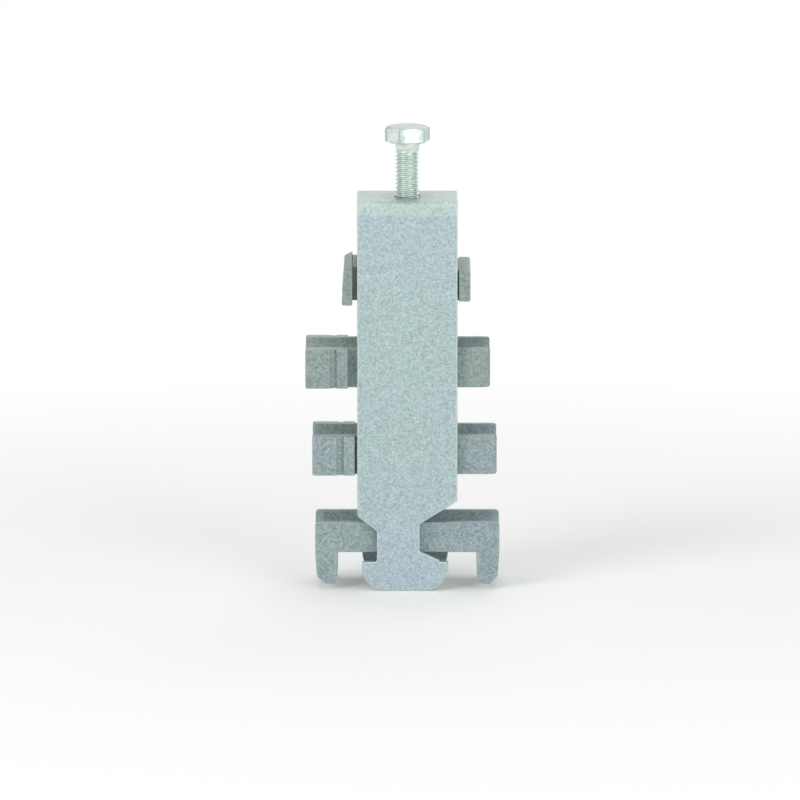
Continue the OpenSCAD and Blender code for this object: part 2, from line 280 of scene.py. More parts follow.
class Effects:
    """The effects that several finishes share, each a node group that is built once."""

    grain_detail: float = 3.0
    grain_share: float = 1.6
    flake_share: float = 0.4
    flakes_per_grain: float = 0.8
    clouds_per_grain: float = 0.16
    drift_range: Range = (0.35, 0.65)
    edge_patches_per_metre: float = 700.0
    edge_patch_range: tuple[float, float, float] = (0.3, 0.6, 0.25)

    def __init__(self) -> None:
        """Builds the groups."""
        self.speckle = self._speckle()
        self.drift = self._drift()
        self.edge = self._edge()

    def _group(self, name: str, inputs: dict[str, object], outputs: dict[str, object]
               ) -> tuple[Graph, bpy.types.NodeOutputs, bpy.types.NodeInputs]:
        """Makes an empty group with its sockets.

        Args:
            name: The group's name.
            inputs: The usual value of each input by its name, four numbers for a colour.
            outputs: The same for the outputs.

        Returns:
            A graph on the group, what it is given and what it has to put out.
        """
        tree = bpy.data.node_groups.new(name, "ShaderNodeTree")
        for way, sockets in (("INPUT", inputs), ("OUTPUT", outputs)):
            for title, value in sockets.items():
                kind = "NodeSocketColor" if isinstance(value, tuple) else "NodeSocketFloat"
                made = tree.interface.new_socket(title, in_out=way, socket_type=kind)
                made.default_value = value
        graph = Graph(tree)
        return graph, graph.add("NodeGroupInput").outputs, graph.add("NodeGroupOutput").inputs

    def _speckle(self) -> bpy.types.NodeTree:
        """Fine light and dark grain with a slower shift of tint under it.

        Returns:
            The group.
        """
        graph, given, out = self._group(
            "fine_speckle",
            {"Color": GREY, "Scale": 2000.0, "Contrast": 0.1, "Tint": 0.04, "Across": 1.0},
            {"Color": GREY, "Height": 0.0})
        drawn = graph.add("ShaderNodeCombineXYZ", X=1.0, Y=given["Across"], Z=1.0)
        scaled = graph.add("ShaderNodeVectorMath", Vector=graph.place())
        scaled.operation = "MULTIPLY"
        graph.put(scaled.inputs[1], drawn.outputs["Vector"])
        point = scaled.outputs["Vector"]
        grain = graph.noise(point, given["Scale"], self.grain_detail)
        flakes = graph.add("ShaderNodeTexVoronoi", Vector=point, Scale=graph.maths(
            "MULTIPLY", given["Scale"], self.flakes_per_grain))
        flake = graph.tones(flakes.outputs["Color"])["Red"]
        mixed = graph.maths("ADD", graph.maths("MULTIPLY", grain.outputs["Fac"], self.grain_share),
                            graph.maths("MULTIPLY", flake, self.flake_share))
        height = graph.maths("SUBTRACT", mixed, 1.0)
        gain = graph.maths("MULTIPLY_ADD", height, given["Contrast"], 1.0)
        cloud = graph.noise(point, graph.maths("MULTIPLY", given["Scale"], self.clouds_per_grain))
        tints, parts = graph.tones(cloud.outputs["Color"]), graph.tones(given["Color"])
        joined = graph.add("ShaderNodeCombineColor")
        for name in ("Red", "Green", "Blue"):
            shift = gain
            if name != "Green":
                tint = graph.maths("SUBTRACT", tints[name], 0.5)
                shift = graph.maths("ADD", gain, graph.maths("MULTIPLY", tint, given["Tint"]))
            graph.put(joined.inputs[name], graph.maths("MULTIPLY", parts[name], shift))
        graph.put(out["Color"], joined.outputs["Color"])
        graph.put(out["Height"], height)
        return graph.tree

    def _drift(self) -> bpy.types.NodeTree:
        """A slow change from one tint to another over the piece.

        Returns:
            The group.
        """
        graph, given, out = self._group(
            "tone_drift", {"Tint A": GREY, "Tint B": GREY, "Scale": 30.0}, {"Color": GREY})
        cloud = graph.noise(graph.place(), given["Scale"])
        share = graph.remap(cloud.outputs["Fac"], *self.drift_range)
        graph.put(out["Color"], graph.blend(share, given["Tint A"], given["Tint B"]))
        return graph.tree

    def _edge(self) -> bpy.types.NodeTree:
        """Rubbed edges, partly wear and partly a painted highlight: another tone on the broken
        edges, uneven along them.

        Returns:
            The group.
        """
        graph, given, out = self._group(
            "rubbed_and_highlit_edge", {"Color": GREY, "Edge Color": GREY, "Amount": 0.5}, {"Color": GREY})
        # The edge tone is partly wear and partly a painted highlight on the convex broken edges.
        edge = graph.add("ShaderNodeAttribute")
        edge.attribute_name = EDGE_MARK
        edge_patches = graph.noise(graph.place(), self.edge_patches_per_metre, self.grain_detail)
        uneven = graph.remap(edge_patches.outputs["Fac"], *self.edge_patch_range)
        mask = graph.maths("MULTIPLY", graph.maths("MULTIPLY", edge.outputs["Fac"], uneven),
                           given["Amount"], clamp=True)
        graph.put(out["Color"], graph.blend(mask, given["Color"], given["Edge Color"]))
        return graph.tree


@dataclass(frozen=True)
class Grain:
    """The size and depth of a surface's fine speckle."""

    per_metre: float
    contrast: float
    tint: float
    bump: float
    across: float = 1.0


@dataclass(frozen=True)
class Finish:
    """A surface: its colours, its gloss and its grain."""

    name: str
    colour: Colour
    drift_to: Colour
    # The broken edges' tone: partly wear, partly a painted highlight.
    edge_colour: Colour
    metallic: float
    roughness: float
    grain: Grain
    drift_per_metre: float = 25.0
    edge_amount: float = 0.5
    roughness_swing: float = 0.08
    specular: float = 0.5
    rim_tint: Colour = WHITE
    grain_h: float = 0.05 * MM
    grain_swing: float = 0.5

    def material(self, effects: Effects) -> bpy.types.Material:
        """Builds the material.

        Args:
            effects: The shared node groups.

        Returns:
            The material.
        """
        made = bpy.data.materials.new(self.name)
        made.use_nodes = True
        graph = Graph(made.node_tree)
        shader = made.node_tree.nodes["Principled BSDF"].inputs
        shader["Metallic"].default_value = self.metallic
        shader["Specular IOR Level"].default_value = self.specular
        shader["Specular Tint"].default_value = self.rim_tint
        colour, height = self._surface(graph, effects)
        rough = graph.remap(height, -self.grain_swing, self.grain_swing,
                            self.roughness - self.roughness_swing,
                            self.roughness + self.roughness_swing)
        bump = graph.add("ShaderNodeBump", Strength=self.grain.bump, Distance=self.grain_h,
                         Height=height)
        graph.put(shader["Base Color"], colour)
        graph.put(shader["Roughness"], rough)
        graph.put(shader["Normal"], bump.outputs["Normal"])
        return made

    def _surface(self, graph: Graph, effects: Effects) -> tuple[Socket, Socket]:
        """Wires drift, speckle and edges.

        Args:
            graph: The material's graph.
            effects: The shared node groups.

        Returns:
            The colour and the grain's height.
        """
        drift = self._place(graph, effects.drift, {
            "Tint A": self.colour, "Tint B": self.drift_to, "Scale": self.drift_per_metre})
        speckle = self._place(graph, effects.speckle, {
            "Color": self._ground(graph, drift["Color"]), "Scale": self.grain.per_metre,
            "Contrast": self.grain.contrast, "Tint": self.grain.tint,
            "Across": self.grain.across})
        edge = self._place(graph, effects.edge, {
            "Color": speckle["Color"], "Edge Color": self.edge_colour,
            "Amount": self.edge_amount})
        return edge["Color"], speckle["Height"]

    def _ground(self, graph: Graph, drift: Socket) -> Socket:
        """The colour under the grain, here the plain drift."""
        return drift

    def _place(self, graph: Graph, tree: bpy.types.NodeTree, inputs: dict[str, object]
               ) -> bpy.types.NodeOutputs:
        """Places a shared group in the material with this finish's values.

        Args:
            graph: The material's graph.
            tree: The group.
            inputs: Its values or sockets by name.

        Returns:
            What the group puts out.
        """
        node = graph.add("ShaderNodeGroup")
        node.node_tree = tree
        for name, value in inputs.items():
            graph.put(node.inputs[name], value)
        return node.outputs


@dataclass(frozen=True)
class StripFinish(Finish):
    """Galvanised strip whose bends carry a painted highlight, whose top web carries a painted
    warmer top light and whose collar carries painted shade round the bolt, each differing in tint
    from the legs.
    """

    # A painted highlight on the bends near the top of the strap.
    bend_highlight_colour: Colour = GREY
    # A painted warmer top light on the web's upward face.
    web_top_light_colour: Colour = GREY
    # Painted shade on the web round the bolt's base.
    collar_shade_colour: Colour = GREY
    bend_drop: Range = (2.4 * MM, 1.5 * MM)
    web_drop: Range = (0.4 * MM, 0.06 * MM)
    collar_shade_reach: Range = (3.6 * MM, 7.5 * MM)

    def _ground(self, graph: Graph, drift: Socket) -> Socket:
        """Blends over the drift a painted highlight on the bends, a painted warmer top light on
        the web and painted shade round the bolt's collar.

        Args:
            graph: The material's graph.
            drift: The legs' colour.

        Returns:
            The colour under the grain.
        """
        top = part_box("strap")[1].z
        parts = graph.split(graph.place())
        # bend and web: masks for the painted bend highlight and the painted top light on the web.
        bend, web = (graph.remap(parts["Z"], top - drop[0], top - drop[1])
                     for drop in (self.bend_drop, self.web_drop))
        # rim: painted shade round the bolt's base, fading out with distance from the axis.
        rim = graph.remap(graph.off_axis(parts), *self.collar_shade_reach, 1.0, 0.0)
        on_top = graph.blend(rim, self.web_top_light_colour, self.collar_shade_colour)
        return graph.blend(web, graph.blend(bend, drift, self.bend_highlight_colour), on_top)


@dataclass(frozen=True)
class ThreadedFinish(Finish):
    """A plated finish with painted shade in the thread's roots and just under the head, and on the
    head's upward faces and hexagon corners.
    """

    root_shade_colour: Colour = GREY
    crown_shade_colour: Colour = GREY
    corner_shade_colour: Colour = GREY
    thread_reach: Range = (2.45 * MM, 2.9 * MM)
    corner_shade_reach: tuple[float, float, float, float] = (5.2 * MM, 5.6 * MM, 0.0, 0.8)
    crown_facing: Range = (0.5, 0.8)
    patches_per_metre: float = 900.0
    patch_range: tuple[float, float, float] = (0.35, 0.6, 0.45)
    head_h: float = 4.0 * MM
    head_from: float = 0.5 * MM
    under_head_shadow: tuple[float, float, float, float] = (0.15 * MM, 0.45 * MM, 0.8, 0.0)

    def _ground(self, graph: Graph, drift: Socket) -> Socket:
        """Blends painted shade on the crown, the corners, the thread's roots and under the head
        over the drift.

        Args:
            graph: The material's graph.
            drift: The plating's colour.

        Returns:
            The colour under the grain.
        """
        place = graph.place()
        parts = graph.split(place)
        height, radius = parts["Z"], graph.off_axis(parts)
        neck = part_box("bolt")[1].z - self.head_h
        facing = graph.split(graph.add("ShaderNodeNewGeometry").outputs["Normal"])["Z"]
        on_head = graph.maths("GREATER_THAN", height, neck + self.head_from)
        # crown: painted shade on the head's upward-facing top and chamfer.
        crown = graph.maths("MULTIPLY", graph.remap(facing, *self.crown_facing), on_head)
        patches = graph.noise(place, self.patches_per_metre)
        # root: painted shade in the thread's roots, broken up in patches, above the plate and
        # below the head.
        root = graph.maths("MULTIPLY", graph.remap(radius, *self.thread_reach, 1.0, 0.0),
                           graph.remap(patches.outputs["Fac"], *self.patch_range))
        above_plate = graph.maths("GREATER_THAN", height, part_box("thrust_plate")[1].z)
        below_head = graph.maths("SUBTRACT", 1.0, on_head)
        root = graph.maths("MULTIPLY", root, graph.maths("MULTIPLY", above_plate, below_head))
        # A painted shadow in a thin band just under the head.
        off_neck = graph.maths("ABSOLUTE", graph.maths("SUBTRACT", height, neck))
        painted_shade = graph.maths("MAXIMUM", root, graph.remap(off_neck, *self.under_head_shadow))
        tone = graph.blend(crown, drift, self.crown_shade_colour)
        # Painted shade on the hexagon's rounded corners.
        tone = graph.blend(graph.remap(radius, *self.corner_shade_reach), tone, self.corner_shade_colour)
        return graph.blend(painted_shade, tone, self.root_shade_colour)


# The third grey is the edge tone, partly a painted highlight on the saddles' broken edges.
MOULDED_GREY = ((141, 158, 151), (140, 155, 157), (160, 176, 169))
# Lit and shaded copies of the one grey: painted light and shade, darker the higher a saddle sits
# inside the strap.
MOULDING_SHADES = {
    "counter_saddle": ("moulded_grey_light", 1.025, 1.03),
    "lower_saddle": ("moulded_grey_blue", 1.015, 1.03),
    "upper_saddle": ("moulded_grey_plain", 0.98, 0.99),
    "pressure_saddle": ("moulded_grey_dark", 0.945, 0.99),
}


def moulded(name: str, shade: float, blue: float) -> Finish:
    """The grey of one moulding, a little lighter or darker than its neighbours: painted light and
    shade, darker for the saddles higher up inside the strap.

    Args:
        name: The material's name.
        shade: How light this copy is against the usual grey.
        blue: How much bluer it is.

    Returns:
        The finish.
    """
    plain, cool, rim = (srgb(red * shade, green * shade, tint * shade * blue)
                        for red, green, tint in MOULDED_GREY)
    return Finish(name, plain, cool, rim, metallic=0.0, roughness=0.5,
                  grain=Grain(2100.0, 0.85, 0.23, 0.3), drift_per_metre=45.0,
                  roughness_swing=0.06)


class Palette:
    """The clamp's finishes, built as materials."""

    def __init__(self) -> None:
        """Builds every material."""
        effects = Effects()
        # The strip's bend colour is a painted highlight, its web colour a painted warmer top light
        # and its collar colour painted shade round the bolt.
        self.galvanised = StripFinish(
            "galvanised_strip", srgb(166, 185, 184), srgb(170, 185, 193), srgb(198, 216, 200),
            metallic=0.35, roughness=0.52, grain=Grain(2300.0, 0.64, 0.15, 0.35, across=0.65),
            edge_amount=0.8, bend_highlight_colour=srgb(172, 191, 184), web_top_light_colour=srgb(166, 179, 180),
            collar_shade_colour=srgb(148, 170, 154)).material(effects)
        self.sheared = Finish(
            "sheared_edge", srgb(166, 184, 182), srgb(154, 171, 172), srgb(203, 220, 205),
            metallic=0.45, roughness=0.48, grain=Grain(1500.0, 0.6, 0.1, 0.5),
            drift_per_metre=180.0, edge_amount=0.6).material(effects)
        self.plastic = {node: moulded(*shade).material(effects)
                        for node, shade in MOULDING_SHADES.items()}
        # The bolt's root, crown and corner colours are painted shade.
        self.zinc = ThreadedFinish(
            "bright_zinc_plate", srgb(219, 230, 226), srgb(214, 226, 221), srgb(210, 220, 216),
            metallic=0.55, roughness=0.32, grain=Grain(1400.0, 0.35, 0.12, 0.12),
            drift_per_metre=120.0, roughness_swing=0.05, specular=0.3,
            rim_tint=(0.6, 0.64, 0.62, 1.0), root_shade_colour=srgb(193, 210, 199),
            crown_shade_colour=srgb(169, 178, 176), corner_shade_colour=srgb(162, 174, 173)
        ).material(effects)
        self.steel = Finish(
            "stamped_steel", srgb(196, 201, 199), srgb(184, 189, 189), srgb(218, 222, 220),
            metallic=0.9, roughness=0.34, grain=Grain(900.0, 0.2, 0.05, 0.2),
            drift_per_metre=150.0).material(effects)


def mark_edges(mesh: bpy.types.Mesh, full_bend: float = 2.5 / MM) -> None:
    """Stores on each face how sharply the surface bends outwards there, from 0 to 1.

    Args:
        mesh: The finished mesh of a piece.
        full_bend: The bend that counts as 1, in radians for each metre.
    """
    shell = bmesh.new()
    shell.from_mesh(mesh)
    bends = []
    for face in shell.faces:
        turned = sum(e.calc_face_angle_signed(0.0) * e.calc_length() for e in face.edges)
        bends.append(limited(turned / max(face.calc_area(), TINY**2) / full_bend))
    shell.free()
    attribute = mesh.attributes.new(EDGE_MARK, "FLOAT", "FACE")
    attribute.data.foreach_set("value", bends)


@dataclass
class Piece:
    """A piece of the clamp: where it rides, what it stands for and how it is shaded."""

    node: str
    body: Body
    slot: Slot
    smooth_below: float = 32.0

    def shell(self) -> Shell:
        """Builds the piece's mesh."""
        raise NotImplementedError

    def dress(self, mesh: bpy.types.Mesh, palette: Palette) -> None:
        """Gives the mesh its materials."""
        raise NotImplementedError

    def build(self, palette: Palette) -> bpy.types.Object:
        """Builds, shades and seats the piece.

        Args:
            palette: The clamp's materials.

        Returns:
            The finished piece.
        """
        shell = self.shell()
        bmesh.ops.recalc_face_normals(shell, faces=shell.faces)
        mesh = bpy.data.meshes.new(f"{self.node}_piece")
        shell.to_mesh(mesh)
        shell.free()
        mesh.polygons.foreach_set("use_smooth", [True] * len(mesh.polygons))
        mesh.set_sharp_from_angle(angle=math.radians(self.smooth_below))
        mark_edges(mesh)
        self.dress(mesh, palette)
        piece = added(mesh.name, mesh)
        piece.modifiers.new("flat_faces", "WEIGHTED_NORMAL").keep_sharp = True
        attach(piece, self.body.value)
        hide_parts(self.node)
        LOG.info("%s: %d faces, rides on %s", mesh.name, len(mesh.polygons), self.body.value)
        return piece


@dataclass
class BrokenEdges(Piece):
    """A piece that keeps its solid's form, with every outer edge broken by a small round."""

    edge_round: float = 0.2 * MM
    sharp_above: float = 28.0
    weld: float = 0.002 * MM
    flat_within: float = 0.3

    def shell(self) -> Shell:
        """Joins the solid's flat faces and rounds its outer edges.

        Returns:
            The mesh.
        """
        shell = bmesh.new()
        shell.from_mesh(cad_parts[self.node].data)
        bmesh.ops.remove_doubles(shell, verts=shell.verts, dist=self.weld)
        bmesh.ops.dissolve_limit(shell, angle_limit=math.radians(self.flat_within),
                                 verts=shell.verts, edges=shell.edges, delimit={"NORMAL"})
        limit = math.radians(self.sharp_above)
        outer = [edge for edge in shell.edges
                 if edge.is_manifold and edge.calc_face_angle_signed(0.0) > limit]
        bmesh.ops.bevel(shell, geom=outer, offset=self.edge_round, offset_type="OFFSET",
                        segments=3, profile=0.5, affect="EDGES", clamp_overlap=False,
                        loop_slide=True, miter_outer="SHARP", miter_inner="SHARP")
        return shell


@dataclass
class Strap(BrokenEdges):
    """The folded strip with its two hooked legs."""

    node: str = "strap"
    body: Body = Body.STRAP
    slot: Slot = Slot.GALVANISED
    edge_round: float = 0.3 * MM
    bend_outer: float = 3.5 * MM
    leg_edge: float = 0.3
    bend_edge: float = 0.8

    def dress(self, mesh: bpy.types.Mesh, palette: Palette) -> None:
        """Galvanises the rolled faces and gives the sheared edges their own finish.

        Args:
            mesh: The strap's mesh.
            palette: The clamp's materials.
        """
        mesh.materials.append(palette.galvanised)
        mesh.materials.append(palette.sheared)
        legs_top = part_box(self.node)[1].z - self.bend_outer
        for face in mesh.polygons:
            on_leg = face.center.z < legs_top
            if (on_leg and abs(face.normal.y) < self.leg_edge) or (
                    abs(face.normal.x) > self.bend_edge):
                face.material_index = 1


@dataclass
class ThrustPlate(BrokenEdges):
    """The stamped plate that spreads the bolt's push."""

    node: str = "thrust_plate"
    body: Body = Body.PRESSURE
    slot: Slot = Slot.STEEL
    edge_round: float = 0.12 * MM

    def dress(self, mesh: bpy.types.Mesh, palette: Palette) -> None:
        """The plate is plain steel all over."""
        mesh.materials.append(palette.steel)


@dataclass(frozen=True)
class Corner:
    """A corner of a cross-section: Y, Z and the round on it, or None for a plain point."""

    y: float
    z: float
    round: float | None = None


def rounded_points(corners: Sequence[Corner], steps: int = 4) -> list[Point]:
    """Draws a half outline with its corners rounded.

    Args:
        corners: The corners in order. The first and the last lie on the centre line.
        steps: Steps round each rounded corner.

    Returns:
        The points, always as many for the same kinds of corner.
    """
    points: list[Point] = []
    for i, corner in enumerate(corners):
        if corner.round is None:
            points.append((corner.y, corner.z))
            continue
        here = Vector((corner.y, corner.z))
        ends = []
        for other in (corners[i - 1], corners[i + 1]):
            way = Vector((other.y, other.z)) - here
            reach = min(corner.round, way.length / 2)
            ends.append(here + way.normalized() * reach if reach > 0 else here.copy())
        for t in span(0.0, 1.0, steps):
            at = ends[0] * (1 - t) ** 2 + here * (2 * t * (1 - t)) + ends[1] * t**2
            points.append((at.x, at.y))
    return points


@dataclass(frozen=True)
class Trough:
    """A saddle's round trough where a cross-section cuts it."""

    centre_z: float
    radius: float
    opens_up: bool
    steps: int = 22
    edge_inset: float = 0.1 * MM

    def rim(self, face_z: float, half_width: float) -> Point:
        """Where the trough meets the saddle's upper or lower face.

        Args:
            face_z: Height of that face.
            half_width: Half the saddle's width.

        Returns:
            Y and Z of the rim.
        """
        reach = math.sqrt(max(0.0, self.radius**2 - (self.centre_z - face_z) ** 2))
        y = min(reach, half_width - self.edge_inset)
        depth = math.sqrt(self.radius**2 - y**2)
        return y, self.centre_z + (-depth if self.opens_up else depth)

    def arc(self, to_y: float) -> list[Corner]:
        """The trough's arc from its middle out to a distance short of the rim.

        Args:
            to_y: That distance.

        Returns:
            The arc's points.
        """
        sign = -1.0 if self.opens_up else 1.0
        return [Corner(self.radius * math.sin(a), self.centre_z + sign * self.radius * math.cos(a))
                for a in span(0.0, math.asin(to_y / self.radius), self.steps)]


def loft(stations: Iterable[tuple[float, list[Point]]], shift: Shift) -> Shell:
    """Skins a row of half outlines into a closed body that is the same on both sides.

    Args:
        stations: The place along X and the half outline there, each with as many points.
        shift: How far a point is moved along X, from its X and Z.

    Returns:
        The closed mesh.
    """
    shell = bmesh.new()
    rings = []
    for x, half in stations:
        whole = half + [(-y, z) for y, z in reversed(half)]
        rings.append([shell.verts.new((x + shift(x, z), y, z)) for y, z in whole])
    skin(shell, rings)
    bmesh.ops.remove_doubles(shell, verts=shell.verts, dist=TINY)
    inner = [f for f in shell.faces if all(abs(v.co.y) < TINY for v in f.verts)]
    bmesh.ops.delete(shell, geom=inner, context="FACES")
    bmesh.ops.dissolve_degenerate(shell, dist=2 * TINY, edges=shell.edges)
    loose = [e for e in shell.edges if not e.link_faces]
    bmesh.ops.delete(shell, geom=loose, context="EDGES")
    return shell


def skin(shell: Shell, rings: Sequence[Sequence[bmesh.types.BMVert]]) -> None:
    """Joins rings of as many points with faces and closes both ends.

    Args:
        shell: The mesh that the points are in.
        rings: The rings in order.
    """
    count = len(rings[0])
    for near, far in zip(rings, rings[1:]):
        for i in range(count):
            j = (i + 1) % count
            shell.faces.new((near[i], near[j], far[j], far[i]))
    shell.faces.new(rings[0])
    shell.faces.new(rings[-1])


@dataclass
class Saddle(Piece):
    """A moulded saddle, skinned along its length from cross-sections."""

    slot: Slot = Slot.PLASTIC
    bore_r: float = 9.0 * MM
    rim_gap: float = 5.3 * MM
    press_gap: float = 6.8 * MM
    flare_l: float = 1.0 * MM
    flare_open: float = 0.6 * MM
    lip_round: float = 0.2 * MM
    corner_round: float = 0.35 * MM
    end_r: float = 0.5 * MM
    end_steps: int = 6
    round_steps: int = 4
    lip_steps: int = 3
    body_y: float = 9.15 * MM
    head_y: float = 11.2 * MM
    x_decimals: int = 8
    box: tuple[Vector, Vector] = field(init=False)
    left: float = field(init=False)
    right: float = field(init=False)

    def __post_init__(self) -> None:
        """Reads the saddle's place from the frame."""
        self.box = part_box(self.node)
        self.left, self.right = self.box[0].x, self.box[1].x

    def dress(self, mesh: bpy.types.Mesh, palette: Palette) -> None:
        """The saddle is grey plastic all over."""
        mesh.materials.append(palette.plastic[self.node])

    def trough_r(self, x: float) -> float:
        """The trough's radius at x, wider at both ends.

        Args:
            x: Place along the saddle.

        Returns:
            The radius.
        """
        radius = self.bore_r
        for distance in (x - self.left, self.right - x):
            distance = max(0.0, distance)
            radius += self.flare_open * max(0.0, 1 - distance / self.flare_l)
            radius += round_over(distance, self.lip_round)
        return radius

    def end_places(self, end: float, inward: float) -> list[float]:
        """Places for the round of an end and the lip of the trough in it."""
        return (end_stations(end, inward, self.end_r, self.end_steps)
                + end_stations(end, inward, self.lip_round, self.lip_steps))

    def half_width(self, x: float) -> float:
        """Half the saddle's width at x."""
        raise NotImplementedError

    def corners(self, x: float) -> list[Corner]:
        """The half cross-section at x."""
        raise NotImplementedError

    def stations(self) -> list[float]:
        """The places along the saddle that need a cross-section."""
        raise NotImplementedError

    def steps(self) -> list[float]:
        """The places where the cross-section changes at once."""
        raise NotImplementedError

    def slant(self, x: float, z: float) -> float:
        """How far a point leans along the saddle."""
        return 0.0

    def shell(self) -> Shell:
        """Skins the saddle's cross-sections.

        Returns:
            The mesh.
        """
        jumps = self.steps()
        rows = []
        for x in sorted(set(round(s, self.x_decimals) for s in self.stations() + jumps)):
            if any(abs(x - jump) < TINY for jump in jumps):
                rows += [(x, x - 2 * TINY), (x, x + 2 * TINY)]
            else:
                rows.append((x, x))
        return loft(((x, rounded_points(self.corners(seen))) for x, seen in rows), self.slant)


@dataclass
class MiddleSaddle(Saddle):
    """A double saddle with a trough above and below, and a proud head on its left end."""

    head_l: float = 10.6 * MM
    neck_round: float = 0.5 * MM
    lead_in: float = 1.0 * MM
    plain_from: float = 5.0 * MM
    groove_from: float = 5.7 * MM
    groove_w: float = 2.2 * MM
    groove_d: float = 0.9 * MM
    groove_knees: Range = (0.5, 0.85)
    groove_first: float = 0.8
    groove_places: tuple[float, ...] = (0.0, 0.1, 0.2, 0.3, 0.4, 0.5, 0.62, 0.74, 0.85, 1.0)

    def groove(self, along: float) -> float:
        """Depth of the grip groove, which is soft on the outside and steep on the inside.

        Args:
            along: Distance from the head's outer end.

        Returns:
            The depth.
        """
        share = (along - self.groove_from) / self.groove_w
        first, second = self.groove_knees
        if not 0 < share < 1:
            return 0.0
        if share < first:
            return self.groove_d * self.groove_first * math.sin(share * math.pi) ** 2
        if share < second:
            deeper = (share - first) / (second - first)
            return self.groove_d * (self.groove_first + (1 - self.groove_first) * deeper)
        return self.groove_d * (1 - share) / (1 - second)

    def half_width(self, x: float) -> float:
        """Head, neck edge, body and lead-in.

        Args:
            x: Place along the saddle.

        Returns:
            Half the width there.
        """
        along = x - self.left
        if along < self.head_l:
            return (self.head_y - round_over(along, self.end_r) - self.groove(along)
                    - round_over(self.head_l - along, self.neck_round))
        to_end = max(0.0, self.right - x)
        return self.body_y - max(0.0, self.lead_in - to_end) - round_over(to_end, self.lip_round)

    def corners(self, x: float) -> list[Corner]:
        """Lower trough, side and upper trough.

        Args:
            x: Place along the saddle.

        Returns:
            The half cross-section's corners.
        """
        low, high = self.box
        drop = sum(round_over(gap, self.end_r) for gap in (x - self.left, self.right - x))
        width = self.half_width(x)
        below = Trough(low.z - self.press_gap, self.trough_r(x), opens_up=False)
        above = Trough(high.z + self.rim_gap, self.trough_r(x), opens_up=True)
        rim_low, rim_high = below.rim(low.z + drop, width), above.rim(high.z - drop, width)
        soft = self.corner_round
        side = [Corner(*rim_low, soft), Corner(width, rim_low[1], soft),
                Corner(width, rim_high[1], soft), Corner(*rim_high, soft)]
        return below.arc(rim_low[0] - soft) + side + above.arc(rim_high[0] - soft)[::-1]

    def stations(self) -> list[float]:
        """Both ends, the flares, the groove, the neck and the lead-in.

        Returns:
            The places along the saddle.
        """
        neck = self.left + self.head_l
        groove_start = self.left + self.groove_from
        return (self.end_places(self.left, 1) + self.end_places(self.right, -1)
                + [groove_start + self.groove_w * share for share in self.groove_places]
                + end_stations(neck, -1, self.neck_round, self.round_steps)
                + [neck + self.plain_from, self.right - 2 * self.lead_in])

    def steps(self) -> list[float]:
        """The neck behind the head."""
        return [self.left + self.head_l]


